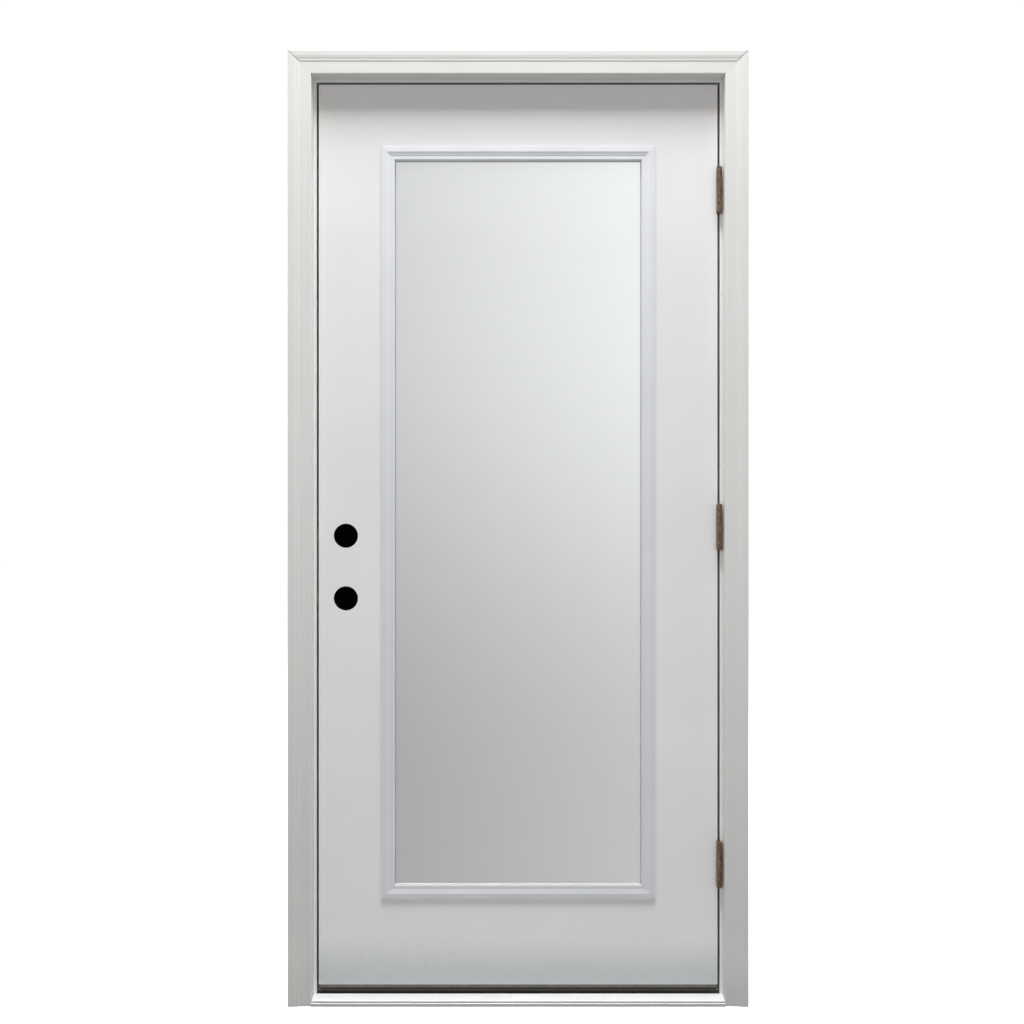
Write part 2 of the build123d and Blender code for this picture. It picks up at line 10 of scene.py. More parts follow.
import bpy
import numpy as np
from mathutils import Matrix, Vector


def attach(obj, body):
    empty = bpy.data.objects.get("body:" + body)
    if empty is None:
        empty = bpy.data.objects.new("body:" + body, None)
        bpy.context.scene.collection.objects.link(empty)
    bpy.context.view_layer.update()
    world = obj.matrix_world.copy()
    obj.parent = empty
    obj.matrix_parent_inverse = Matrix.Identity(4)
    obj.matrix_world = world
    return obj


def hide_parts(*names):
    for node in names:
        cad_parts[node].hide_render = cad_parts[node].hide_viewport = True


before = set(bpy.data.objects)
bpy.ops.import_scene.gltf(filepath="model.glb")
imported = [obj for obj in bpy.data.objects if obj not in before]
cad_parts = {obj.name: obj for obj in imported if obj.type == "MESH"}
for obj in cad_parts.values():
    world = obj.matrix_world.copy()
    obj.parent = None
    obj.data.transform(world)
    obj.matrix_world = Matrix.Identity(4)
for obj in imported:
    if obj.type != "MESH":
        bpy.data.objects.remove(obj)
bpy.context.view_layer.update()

MM = 0.001

# The door's own sizes, in metres

LEAF_X, LEAF_T, LEAF_TOP = 444.5 * MM, 44.45 * MM, 2041.6 * MM
OPENING_X, HEAD_Z = 449.6 * MM, 2046.7 * MM
JAMB_OUT_X, RISER_Z = 468.65 * MM, 46.0 * MM
CASING_IN_X, CASING_IN_Z = 455.95 * MM, 2053.05 * MM
LITE_X, LITE_HALF_H, LITE_Z = 304.8 * MM, 838.2 * MM, 1065.0 * MM
BORE_X, BORE_R = -384.175 * MM, 26.9875 * MM
BORE_ZS = (896.0 * MM, 1035.7 * MM)
HINGE_ZS = (1804.6 * MM, 1055.0 * MM, 305.4 * MM)
HINGE_X, HINGE_Y, HINGE_H = 447.05 * MM, -7.5 * MM, 101.6 * MM
KNUCKLE_R, PIN_R, TIP_R, TIP_H = 6.3 * MM, 3.0 * MM, 4.0 * MM, 1.0 * MM
PLATE_T, PLATE_END_Y, PLATE_CORNER_R = 2.4 * MM, 38.1 * MM, 15.875 * MM
KNUCKLES, KNUCKLE_PITCH, KNUCKLE_GAP = 5, 20.4 * MM, 0.4 * MM
GROOVE_Y, GROOVE_Z = (-27.5 * MM, -25.0 * MM), (6.5 * MM, 9.2 * MM)


# Shader sheets: one finish is one sheet of nodes, and its maths is written as sums

class Wire:
    """A socket's output that can be added, scaled and compared as a number."""

    def __init__(self, sheet, socket):
        self.sheet, self.socket = sheet, socket

    def maths(self, operation, *values):
        return self.sheet.put("ShaderNodeMath", {"operation": operation}, dict(enumerate(values)))

    def __add__(self, other):
        return self.maths("ADD", self, other)

    __radd__ = __add__

    def __sub__(self, other):
        return self.maths("SUBTRACT", self, other)

    def __rsub__(self, other):
        return self.maths("SUBTRACT", other, self)

    def __mul__(self, other):
        return self.maths("MULTIPLY", self, other)

    __rmul__ = __mul__

    def __truediv__(self, other):
        return self.maths("DIVIDE", self, other)

    def __rtruediv__(self, other):
        return self.maths("DIVIDE", other, self)

    def __abs__(self):
        return self.maths("ABSOLUTE", self)

    def least(self, other):
        return self.maths("MINIMUM", self, other)

    def most(self, other):
        return self.maths("MAXIMUM", self, other)

    def repeat(self, period):
        """The remainder within a period, from 0 up to the period."""
        return self.maths("FLOORED_MODULO", self, period)

    def climb(self, start, end):
        """0 at start, 1 at end, and smooth in between."""
        return self.sheet.put(
            "ShaderNodeMapRange",
            {"interpolation_type": "SMOOTHSTEP", "clamp": True},
            {"Value": self, "From Min": start, "From Max": end},
        )

    def within(self, middle, reach):
        """1 at the middle, falling smoothly to 0 at the reach on both sides."""
        return abs(self - middle).climb(reach, 0.0)

    def between(self, low, high, soft):
        """1 from low to high, falling smoothly to 0 over a soft width outside both."""
        return self.climb(low - soft, low) * self.climb(high + soft, high)


class Sheet:
    """A cleared node tree, and the one way in which nodes are put on it."""

    def __init__(self, tree):
        self.nodes, self.links = tree.nodes, tree.links
        self.nodes.clear()

    def put(self, kind, settings=(), values=(), output=0):
        """Adds any node: its type, its settings first, then the values or links of its sockets."""
        node = self.nodes.new(kind)
        for setting, value in dict(settings).items():
            setattr(node, setting, value)
        for socket, value in dict(values).items():
            self.plug(node.inputs[socket], value)
        return Wire(self, node.outputs[output] if len(node.outputs) else None)

    def plug(self, socket, value):
        if isinstance(value, Wire):
            self.links.new(value.socket, socket)
        else:
            socket.default_value = value

    def axes(self, vector):
        """The three numbers of a vector."""
        parts = self.put("ShaderNodeSeparateXYZ", values={0: vector}).socket.node
        return [Wire(self, socket) for socket in parts.outputs]


class Finish(Sheet):
    """A material made of one Principled shader and the nodes that feed it."""

    def __init__(self, name, **constants):
        self.material = bpy.data.materials.new(name)
        self.material.use_nodes = True
        super().__init__(self.material.node_tree)
        self.shader = self.put("ShaderNodeBsdfPrincipled").socket.node
        self.put("ShaderNodeOutputMaterial", values={"Surface": Wire(self, self.shader.outputs[0])})
        self.feed(**constants)

    def feed(self, **values):
        """Sets the shader's own sockets; a name's underscores stand for spaces."""
        for name, value in values.items():
            self.plug(self.shader.inputs[name.replace("_", " ")], value)
        return self

    def place(self, scale=(1, 1, 1), turn=(0, 0, 0), run=False):
        """Object coordinates, or the piece's own running coordinates, stretched or turned."""
        if run:
            source = self.put("ShaderNodeUVMap", {"uv_map": "run"})
        else:
            source = self.put("ShaderNodeTexCoord", output="Object")
        return self.put(
            "ShaderNodeMapping", {"vector_type": "POINT"},
            {"Vector": source, "Rotation": turn, "Scale": scale},
        )

    def noise(self, vector, scale, detail=2.0, roughness=0.5, twist=0.0):
        """Soft random hills between 0 and 1, finer with more detail and bent by a twist."""
        return self.put(
            "ShaderNodeTexNoise", {"noise_dimensions": "3D"},
            {"Vector": vector, "Scale": scale, "Detail": detail, "Roughness": roughness,
             "Distortion": twist},
        )

    def cells(self, vector, scale, spread=1.0):
        """The distance to the nearest of many points, in rows at spread 0 and scattered at 1."""
        return self.put(
            "ShaderNodeTexVoronoi", {"voronoi_dimensions": "3D", "feature": "F1"},
            {"Vector": vector, "Scale": scale, "Randomness": spread},
        )

    def blend(self, share, first, second):
        """Mixes two colours, from all of the first at share 0 to all of the second at share 1."""
        # The node's colours are its sockets 6 and 7 and its output 2
        return self.put(
            "ShaderNodeMix", {"data_type": "RGBA", "clamp_factor": True},
            {0: share, 6: first, 7: second}, output=2,
        )

    def relief(self, height, strength, depth, under=None):
        """A bump from a height between 0 and 1, given its depth in metres."""
        values = {"Strength": strength, "Distance": depth, "Height": height}
        if under is not None:
            values["Normal"] = under
        return self.put("ShaderNodeBump", values=values)

    def facing(self):
        """The surface's own direction in the part's frame."""
        return self.axes(self.put("ShaderNodeNewGeometry", output="Normal"))


def tint(red, green, blue):
    """A colour from screen values of 0 to 255."""
    levels = np.array([red, green, blue]) / 255
    linear = np.where(levels <= 0.04045, levels / 12.92, ((levels + 0.055) / 1.055) ** 2.4)
    return (*linear.tolist(), 1.0)


# Finishes

def mitre_line(finish, half, edge_z, middle_z=0.0):
    """A hairline where two mouldings meet at 45 degrees, wider open on the raised outer band."""
    x, _, z = finish.axes(finish.place())
    outward = abs(x) - half
    upward = abs(z - middle_z) - edge_z
    raised = outward.climb(24 * MM, 30 * MM)
    return (outward - upward).within(0.0, raised * 1.3 * MM + 0.7 * MM) * (0.45 + raised * 0.55)


def casing_paint():
    """Warm white exterior paint over wood moulding, with faint grain running along each length, and
    painted shade that darkens it towards the foot."""
    finish = Finish("casing paint", IOR=1.46)
    streaks = finish.noise(finish.place((4.0, 150.0, 1.0), run=True), 1.0, 4.0, 0.6, 0.4)
    fine = finish.noise(finish.place((30.0, 900.0, 1.0), run=True), 1.0, 3.0, 0.6)
    clouds = finish.noise(finish.place(), 5.0, 2.0)
    line = mitre_line(finish, CASING_IN_X, CASING_IN_Z)
    height = finish.axes(finish.place())[2]
    low, foot = height.climb(1.4, 0.0), height.climb(0.12, 0.0)
    body = finish.blend(streaks.climb(0.3, 0.7), tint(230, 229, 227), tint(234, 233, 231))
    # Painted shade: the moulding darkens towards the bottom, and most at the foot.
    body = finish.blend(low * 0.6, body, tint(202, 204, 202))
    body = finish.blend(foot * 0.35, body, tint(182, 182, 178))
    body = finish.blend(clouds.climb(0.35, 0.75) * 0.45, body, tint(226, 225, 221))
    body = finish.blend(line * 0.9, body, tint(104, 99, 92))
    normal = finish.relief(streaks, 0.35, 0.25 * MM)
    normal = finish.relief(fine, 0.3, 0.06 * MM, normal)
    normal = finish.relief(1 - line, 0.8, 0.3 * MM, normal)
    return finish.feed(
        Base_Color=body, Roughness=0.42 + streaks * 0.12 + clouds * 0.06, Normal=normal
    )


def jamb_paint(name, turn, cut):
    """White primer on planed pine: grain shows faintly through, most of all on the indoor face, and the
    rabbet faces under the shut leaf are painted grey as shade of the gap round the leaf. The hinge
    mortises are raw, and so are the ends of the grain, which lie below or beside, as cut says."""
    finish = Finish(name, IOR=1.46)
    grain = finish.noise(finish.place((160.0, 160.0, 5.0), turn), 1.0, 4.0, 0.6, 0.6)
    pores = finish.noise(finish.place((1400.0, 1400.0, 30.0), turn), 1.0, 2.0, 0.6)
    clouds = finish.noise(finish.place(), 6.0, 3.0)
    across, deep, up = finish.facing()
    x, y, _ = finish.axes(finish.place())
    downward, sideways = up.climb(-0.8, -0.95), abs(across).climb(0.8, 0.95)
    ends, face = (downward, sideways) if cut == "below" else (sideways, downward)
    soft = 0.4 * MM
    worn = deep.climb(0.7, 0.9).most(abs(across).climb(0.9, 0.99) * 0.35)
    routed = (abs(x).between(OPENING_X + 0.6 * MM, JAMB_OUT_X - soft, soft)
              * y.between(3.4 * MM, 41 * MM, soft))
    ends = ends.most(routed)
    raw = finish.blend(grain, tint(206, 176, 132), tint(226, 202, 162))
    paint = finish.blend(clouds.climb(0.3, 0.8) * 0.5, tint(244, 244, 243), tint(239, 239, 237))
    paint = finish.blend(grain.climb(0.62, 0.8) * 0.25, paint, tint(225, 222, 215))
    # Painted shade: the rabbet faces that the shut leaf hides are greyed to darken the gap round the
    # leaf.
    painted_gap_shade = (y.climb(1.5 * MM, 3 * MM) * y.climb(46 * MM, 44 * MM) * face
               * abs(x).climb(JAMB_OUT_X, JAMB_OUT_X - soft))
    paint = finish.blend(painted_gap_shade * 0.8, paint, tint(176, 176, 175))
    body = finish.blend(worn * grain.climb(0.5, 0.78) * 0.22, paint, raw)
    body = finish.blend(ends, body, raw)
    normal = finish.relief(grain, 0.3, 0.3 * MM)
    normal = finish.relief(pores, 0.25, 0.05 * MM, normal)
    return finish.feed(Base_Color=body, Roughness=0.5 + grain * 0.15 + ends * 0.2, Normal=normal)


def steel_paint():
    """Baked white primer on rolled steel sheet: fine orange peel, the faint waviness of sheet, painted
    shade that darkens and cools it towards the bottom with dust noise in it, and painted warm shade in a
    band under the head casing."""
    finish = Finish("white steel paint", IOR=1.5)
    place = finish.place()
    peel = finish.noise(place, 900.0, 2.0, 0.5)
    fine = finish.noise(place, 3200.0, 1.0)
    wave = finish.noise(place, 4.5, 1.0)
    dust = finish.noise(place, 70.0, 4.0, 0.65)
    height = finish.axes(place)[2]
    low, painted_head_shade = height.climb(0.40, 0.03), height.climb(1.86, 2.0)
    painted_foot_shade = height.climb(0.15, 0.03) * (0.82 + dust.climb(0.2, 0.8) * 0.18)
    body = finish.blend(wave.climb(0.35, 0.7), tint(240, 240, 241), tint(243, 243, 243))
    body = finish.blend(dust.climb(0.62, 0.8) * 0.10, body, tint(222, 222, 220))
    # Painted shade: the sheet darkens and cools towards the bottom, broken up by dust noise.
    body = finish.blend(low * dust.climb(0.45, 0.75) * 0.12, body, tint(205, 202, 196))
    body = finish.blend(painted_foot_shade, body, tint(203, 207, 208))
    # Painted shade: a warm grey band just under the head casing.
    body = finish.blend(painted_head_shade * 0.95, body, tint(235, 231, 229))
    normal = finish.relief(wave, 0.25, 1.2 * MM)
    normal = finish.relief(peel, 0.22, 0.05 * MM, normal)
    normal = finish.relief(fine, 0.15, 0.02 * MM, normal)
    return finish.feed(Base_Color=body, Roughness=0.40 + peel * 0.08 + dust * 0.05, Normal=normal)


def pine(name, turn):
    """Planed pine: rings drawn out along the grain, fine pores, pale grey primer on the leaf's edges."""
    finish = Finish(name, IOR=1.45)
    place = finish.place((1.0, 1.0, 0.06), turn)
    sway = finish.noise(place, 9.0, 3.0)
    x, y, _ = finish.axes(finish.place(turn=turn))
    ring_width = 5.2 * MM
    rings = ((x + y * 0.45 + sway * 0.02) / ring_width).repeat(1.0)
    late = rings.climb(0.35, 0.95) * rings.climb(1.0, 0.93)
    pores = finish.noise(finish.place((900.0, 900.0, 26.0), turn), 1.0, 2.0, 0.6)
    body = finish.blend(late * 0.75, tint(226, 196, 148), tint(184, 136, 84))
    body = finish.blend(pores.climb(0.55, 0.75) * 0.4, body, tint(166, 124, 80))
    wide, _, high = finish.axes(finish.place())
    edge = abs(wide).climb(438 * MM, 440 * MM).most(high.climb(LEAF_TOP - 2 * MM, LEAF_TOP - 1 * MM))
    body = finish.blend(edge * (1.0 - late * 0.12), body, tint(190, 190, 189))
    normal = finish.relief(late * 0.4 + pores, 0.4, 0.12 * MM)
    return finish.feed(Base_Color=body, Roughness=0.62 + pores * 0.18, Normal=normal)


def composite():
    """Pressed wood and resin: a grey-tan body with short light and dark flecks."""
    finish = Finish("sill composite", IOR=1.48)
    flecks = finish.noise(finish.place((400.0, 1400.0, 1400.0)), 1.0, 3.0, 0.7)
    specks = finish.cells(finish.place((350.0, 700.0, 700.0)), 1.0)
    body = finish.blend(flecks.climb(0.35, 0.7), tint(118, 104, 86), tint(158, 144, 122))
    body = finish.blend(specks.climb(0.28, 0.12) * 0.6, body, tint(196, 184, 160))
    normal = finish.relief(flecks, 0.5, 0.25 * MM)
    return finish.feed(Base_Color=body, Roughness=0.7 + flecks * 0.15, Normal=normal)


def foam():
    """Pale yellow rigid foam with closed cells."""
    finish = Finish("rigid foam", IOR=1.4)
    bubbles = finish.cells(finish.place(), 700.0)
    clouds = finish.noise(finish.place(), 30.0)
    body = finish.blend(clouds, tint(232, 214, 156), tint(240, 226, 178))
    body = finish.blend(bubbles.climb(0.2, 0.6) * 0.4, body, tint(205, 182, 122))
    return finish.feed(
        Base_Color=body, Roughness=0.85 + clouds * 0.1, Normal=finish.relief(bubbles, 0.6, 0.5 * MM)
    )


def aluminium():
    """Satin extrusion: die lines along X, light oxide clouds, scuffs where feet land, painted shade on
    faces turned to the front, a groove along the nosing painted near black as shade, and a painted
    shadow on the deck under the leaf."""
    finish = Finish("satin aluminium", Metallic=0.3)
    lines = finish.noise(finish.place((1.5, 2600.0, 2600.0)), 1.0, 3.0, 0.6)
    clouds = finish.noise(finish.place((5.0, 30.0, 30.0)), 1.0, 3.0)
    scuffs = finish.noise(finish.place((160.0, 45.0, 45.0)), 1.0, 4.0, 0.7, 1.5)
    x, y, z = finish.axes(finish.place())
    trodden = (y + 0.03).climb(0.0, 0.03) * abs(x).climb(0.42, 0.2)
    body = finish.blend(lines, tint(229, 230, 231), tint(240, 240, 240))
    body = finish.blend(clouds.climb(0.4, 0.75) * 0.4, body, tint(232, 233, 234))
    body = finish.blend(scuffs.climb(0.56, 0.66) * trodden * 0.3, body, tint(186, 187, 188))
    _, deep, up = finish.facing()
    groove = y.between(*GROOVE_Y, 0.4 * MM) * z.between(*GROOVE_Z, 0.5 * MM)
    # Painted shade: faces turned to the front are darkened.
    body = finish.blend(deep.climb(-0.5, -0.9) * 0.75, body, tint(176, 176, 176))
    # Painted shade: the walls of the nosing groove are painted near black.
    body = finish.blend(groove * up.climb(0.9, 0.5) * 0.95, body, tint(20, 19, 18))
    # Painted shadow: the deck under the sweep, just behind the leaf's outdoor face, is painted dark.
    painted_sweep_shadow = y.climb(1.2 * MM, 3.5 * MM) * y.climb(18 * MM, 14 * MM) * up.climb(0.5, 0.9)
    body = finish.blend(painted_sweep_shadow * 0.9, body, tint(74, 72, 70))
    rough = 0.34 + lines * 0.16 + clouds * 0.1 + scuffs.climb(0.55, 0.68) * trodden * 0.12
    normal = finish.relief(lines, 0.35, 0.04 * MM)
    return finish.feed(Base_Color=body, Roughness=rough, Normal=normal)


def vinyl():
    """Extruded grey-brown vinyl: drawn lines along X, a bloom like fine dust, and everything below 28 mm
    and in front of 45 mm, the sweep's lowest part, painted near black as shade beneath the leaf.
    """
    finish = Finish("grey vinyl", IOR=1.5)
    lines = finish.noise(finish.place((3.0, 1800.0, 1800.0)), 1.0, 2.0)
    bloom = finish.noise(finish.place(), 45.0, 4.0, 0.65)
    _, y, z = finish.axes(finish.place())
    painted_fin_shade = z.climb(28.6 * MM, 28.0 * MM) * y.climb(46 * MM, 45 * MM)
    body = finish.blend(bloom.climb(0.4, 0.75), tint(108, 102, 94), tint(128, 122, 114))
    # Painted shade: the sweep's lowest part is painted near black.
    body = finish.blend(painted_fin_shade * 0.9, body, tint(26, 22, 22))
    normal = finish.relief(lines, 0.4, 0.08 * MM)
    return finish.feed(Base_Color=body, Roughness=0.5 + bloom * 0.2, Normal=normal)


def bronze():
    """Dark bronze plating on steel, worn to copper at the knuckle ends and on high spots, and coppery on
    the barrel's front right side as a painted warm reflection.
    """
    finish = Finish("bronze plating", Metallic=0.85)
    place = finish.place()
    x, y, z = finish.axes(place)
    mottle = finish.noise(place, 260.0, 4.0, 0.65)
    turned = finish.noise(finish.place((300.0, 300.0, 5200.0)), 1.0, 2.0)
    ends = [(z - middle + HINGE_H / 2).repeat(KNUCKLE_PITCH).within(0.0, 1.6 * MM)
            * (z - middle).within(0.0, HINGE_H * 0.6).climb(0.0, 0.1) for middle in HINGE_ZS]
    rims = ends[0].most(ends[1]).most(ends[2])
    # Painted reflection: the barrel's front right side is made coppery as if it mirrored a warm light;
    # the rest of the copper is wear.
    beside = (x - HINGE_X).climb(1.0 * MM, 5.0 * MM) * y.climb(0.0, -1.0 * MM)
    speck = mottle.climb(0.42, 0.62)
    wear_and_side_glint = (speck * 0.35 + rims * 0.25 + beside * (0.25 + speck * 0.4)).least(1.0)
    body = finish.blend(mottle.climb(0.3, 0.7), tint(70, 64, 54), tint(134, 122, 106))
    body = finish.blend(wear_and_side_glint, body, tint(176, 120, 88))
    normal = finish.relief(turned, 0.25, 0.04 * MM)
    normal = finish.relief(mottle, 0.2, 0.08 * MM, normal)
    return finish.feed(Base_Color=body, Roughness=0.40 + mottle * 0.16 - wear_and_side_glint * 0.06, Normal=normal)


def lite_plastic():
    """Cool white moulded frame: fine stipple, painted shade that darkens it low down, painted shade on
    its up-facing ledges against the light from above with specks of dust in it, and a hairline at each
    mitred corner."""
    finish = Finish("white moulded frame", IOR=1.48)
    place = finish.place()
    stipple = finish.noise(place, 1500.0, 2.0)
    clouds = finish.noise(place, 7.0, 2.0)
    line = mitre_line(finish, LITE_X, LITE_HALF_H, LITE_Z)
    motes = finish.noise(place, 400.0, 3.0, 0.7)
    # Painted shade: up-facing ledges are darkened against the light from above, with specks of dust
    # mixed in.
    painted_ledge_shade = finish.facing()[2].climb(0.1, 0.7) * (0.75 + motes * 0.25)
    low = finish.axes(place)[2].climb(1.85, 0.65)
    body = finish.blend(clouds.climb(0.3, 0.7), tint(231, 232, 236), tint(236, 237, 241))
    # Painted shade: the frame darkens towards the bottom.
    body = finish.blend(low * 0.36, body, tint(204, 205, 209))
    body = finish.blend(painted_ledge_shade, body, tint(170, 169, 168))
    body = finish.blend(line * 0.6, body, tint(166, 167, 174))
    normal = finish.relief(stipple, 0.2, 0.05 * MM)
    normal = finish.relief(1 - line, 0.6, 0.2 * MM, normal)
    return finish.feed(Base_Color=body, Roughness=0.36 + stipple * 0.1 + clouds * 0.05, Normal=normal)


def glass():
    """Coated insulating glass: partly a soft mirror, partly clear, with a trace of wiping marks."""
    finish = Finish(
        "coated glass", Transmission_Weight=1.0, IOR=1.5, Metallic=0.8, Base_Color=tint(250, 251, 251)
    )
    wipes = finish.noise(finish.place((9.0, 9.0, 3.0)), 1.0, 3.0, 0.6, 1.2)
    return finish.feed(Roughness=0.10 + wipes.climb(0.55, 0.8) * 0.03)


def glazing_sealant():
    """Sealant tooled to a slope between the glass and its moulding: its dark grey is painted shade along
    the glass edge, and it is painted pale where it faces up, as if lit from above.
    """
    finish = Finish("glazing sealant", IOR=1.43)
    lumps = finish.noise(finish.place(), 160.0, 3.0, 0.6)
    fine = finish.noise(finish.place(), 1400.0, 2.0)
    painted_top_light = finish.facing()[2].climb(0.2, 0.5)
    # Painted shade: the sealant's dark grey darkens the glass edge.
    body = finish.blend(lumps, tint(138, 140, 139), tint(156, 157, 155))
    # Painted light: faces turned up are made pale as if lit from above.
    body = finish.blend(painted_top_light, body, tint(214, 215, 213))
    return finish.feed(
        Base_Color=body, Roughness=0.55 + fine * 0.15, Normal=finish.relief(lumps, 0.5, 0.3 * MM)
    )


def spacer():
    """Grey warm-edge spacer with a row of breather holes and desiccant dots."""
    finish = Finish("spacer metal", Metallic=0.8)
    dots = finish.cells(finish.place(), 330.0, spread=0.15)
    haze = finish.noise(finish.place(), 60.0, 3.0)
    body = finish.blend(haze, tint(150, 152, 154), tint(178, 180, 182))
    body = finish.blend(dots.climb(0.2, 0.1) * 0.8, body, tint(70, 71, 73))
    return finish.feed(
        Base_Color=body, Roughness=0.4 + haze * 0.15, Normal=finish.relief(dots, 0.3, 0.2 * MM)
    )


def seal_foam():
    """Compression seal: a thin dark skin over foam, with fine cross wrinkles."""
    finish = Finish("seal skin", IOR=1.45)
    wrinkles = finish.noise(finish.place(), 420.0, 3.0, 0.6, 0.8)
    clouds = finish.noise(finish.place(), 25.0, 3.0)
    body = finish.blend(clouds, tint(50, 49, 48), tint(66, 65, 63))
    body = finish.blend(wrinkles.climb(0.55, 0.75) * 0.4, body, tint(84, 83, 81))
    return finish.feed(
        Base_Color=body, Roughness=0.6 + clouds * 0.15, Normal=finish.relief(wrinkles, 0.5, 0.25 * MM)
    )


def bore_shade_black():
    """Matt black foam that closes a lock hole for transport, dark enough to stand in for the shade deep
    in the hole.
    """
    finish = Finish("black foam", IOR=1.3, Specular_IOR_Level=0.1)
    pores = finish.cells(finish.place(), 900.0)
    body = finish.blend(pores.climb(0.2, 0.6), tint(8, 8, 8), tint(3, 3, 3))
    return finish.feed(
        Base_Color=body, Roughness=0.95 - pores * 0.1, Normal=finish.relief(pores, 0.4, 0.3 * MM)
    )


UPRIGHT, LEVEL = (0, 0, 0), (0, pi / 2, 0)
CASING_PAINT, LITE_PLASTIC, GLAZING_SEALANT = casing_paint(), lite_plastic(), glazing_sealant()
BRONZE, SEAL_FOAM = bronze(), seal_foam()
NODE_FINISHES = {
    CASING_PAINT: ("casing_left", "casing_right", "casing_head"),
    jamb_paint("upright jamb paint", UPRIGHT, "below"): ("jamb_strike", "jamb_hinge"),
    jamb_paint("head jamb paint", LEVEL, "beside"): ("jamb_head",),
    steel_paint(): ("skin_outdoor", "skin_indoor"),
    pine("upright pine", UPRIGHT): ("stile_hinge", "stile_lock", "lock_block"),
    pine("level pine", LEVEL): ("rail_top",),
    composite(): ("sill_base", "rail_bottom"),
    foam(): ("foam_core",),
    aluminium(): ("sill_tread", "sill_riser"),
    vinyl(): ("sill_bumper", "door_sweep"),
    BRONZE: ("hinge_frame_halves", "hinge_leaf_halves", "hinge_pins"),
    LITE_PLASTIC: ("lite_frame_outdoor", "lite_frame_indoor"),
    glass(): ("glass_outdoor", "glass_indoor"),
    spacer(): ("glass_spacer",),
    SEAL_FOAM: ("weatherstrip_strike", "weatherstrip_hinge", "weatherstrip_head"),
}
for finish, names in NODE_FINISHES.items():
    for name in names:
        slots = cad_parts[name].data.materials
        slots.clear()
        slots.append(finish.material)


# Surfaces: every new piece is worked out as whole arrays of points

CREASE = radians(32)


def measured(points, axis):
    """Distance run along one axis of a grid, up to where it would meet its start, in metres."""
    steps = np.linalg.norm(np.roll(points, -1, axis) - points, axis=2).mean(axis=1 - axis)
    return np.concatenate([[0.0], np.cumsum(steps)])


class Piece:
    """Surfaces gathered into one mesh, each a closed shell whose faces point outwards."""

    def __init__(self):
        self.points, self.faces, self.runs = [], [], []
        self.count = 0

    def add(self, points, wrap_rows=False):
        """Adds a grid of points that closes along its columns, and along its rows or with two caps.

        The faces are turned round where the volume under them, a . (b x c) summed, is negative.
        """
        rows, columns = points.shape[:2]
        i, j = np.meshgrid(np.arange(rows - (not wrap_rows)), np.arange(columns), indexing="ij")
        i = i.ravel()[:, None] + np.array([0, 1, 1, 0])
        j = j.ravel()[:, None] + np.array([0, 0, 1, 1])
        quads = (i % rows) * columns + j % columns
        runs = np.stack([measured(points, 0)[i], measured(points, 1)[j]], axis=2)
        flat = points.reshape(-1, 3)
        caps = [] if wrap_rows else [np.arange(columns), np.arange(rows * columns)[:-columns - 1:-1]]
        a, b, c, d = (flat[quads[:, n]] for n in range(4))
        volume = (a * (np.cross(b, c) + np.cross(c, d))).sum()
        for cap in caps:
            volume += (flat[cap[:1]] * np.cross(flat[cap[1:-1]], flat[cap[2:]])).sum()
        way = -1 if volume < 0 else 1
        self.points.append(flat)
        self.faces += (quads[:, ::way] + self.count).tolist()
        self.faces += [(cap[::way] + self.count).tolist() for cap in caps]
        self.runs.append(runs[:, ::way].reshape(-1, 2))
        self.runs += [flat[cap[::way]][:, :2] for cap in caps]
        self.count += len(flat)

    def finish(self, name, body, slot, finish, replaces=()):
        """Makes the mesh, smooth but for its creases, and lets it ride on a body of the frame."""
        mesh = bpy.data.meshes.new(name)
        mesh.from_pydata(np.concatenate(self.points).tolist(), [], self.faces)
        run = mesh.uv_layers.new(name="run")
        run.data.foreach_set("uv", np.concatenate(self.runs).ravel())
        mesh.shade_smooth()
        mesh.set_sharp_from_angle(angle=CREASE)
        mesh.materials.append(finish.material)
        piece = bpy.data.objects.new(name, mesh)
        bpy.context.scene.collection.objects.link(piece)
        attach(piece, body)
        if replaces:
            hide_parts(*replaces)
        return piece


def rounded(corners, steps=6):
    """A closed outline from rows of (u, v, radius) in millimetres, with each corner made an arc.

    An arc begins radius / tan(half the corner's angle) before the corner, round a centre on the
    bisector radius / sin(half) away. One more point on each side keeps the straights flat.
    """
    u, v, radii = np.array(corners, float).T * MM
    spots = np.stack([u, v], axis=1)
    back, ahead = np.roll(spots, 1, 0) - spots, np.roll(spots, -1, 0) - spots
    reach = np.linalg.norm(ahead, axis=1)
    back /= np.linalg.norm(back, axis=1)[:, None]
    ahead /= reach[:, None]
    half = np.arccos(np.clip((back * ahead).sum(axis=1), -1, 1)) / 2
    cut = radii / np.tan(half)
    bisector = (back + ahead) / np.linalg.norm(back + ahead, axis=1)[:, None]
    centre = spots + bisector * (radii / np.sin(half))[:, None]
    start, end = spots + back * cut[:, None], spots + ahead * cut[:, None]
    sweep = (pi - 2 * half)[:, None, None]
    share = np.linspace(0, 1, steps)[None, :, None]
    arc = (
        centre[:, None]
        + np.sin((1 - share) * sweep) / np.sin(sweep) * (start - centre)[:, None]
        + np.sin(share * sweep) / np.sin(sweep) * (end - centre)[:, None]
    )
    clear = np.minimum(0.3 * MM, 0.3 * (reach - cut - np.roll(cut, -1)))
    before = start + back * np.roll(clear, 1)[:, None]
    after = end + ahead * clear[:, None]
    return np.concatenate([before[:, None], arc, after[:, None]], axis=1).reshape(-1, 2)


def carried(outline, start, end, across, out, shear=(0.0, 0.0)):
    """An outline of (u, v) carried straight from start to end: start + u across + v out.

    A shear slides the points of one end along the path by shear x u, which cuts a mitre.
    """
    start, end, across, out = (np.array(spot, float) for spot in (start, end, across, out))
    way = (end - start) / np.linalg.norm(end - start)
    u, v = outline[:, :1], outline[:, 1:]
    side = u * across + v * out
    return np.stack([start + side + shear[0] * u * way, end + side + shear[1] * u * way])


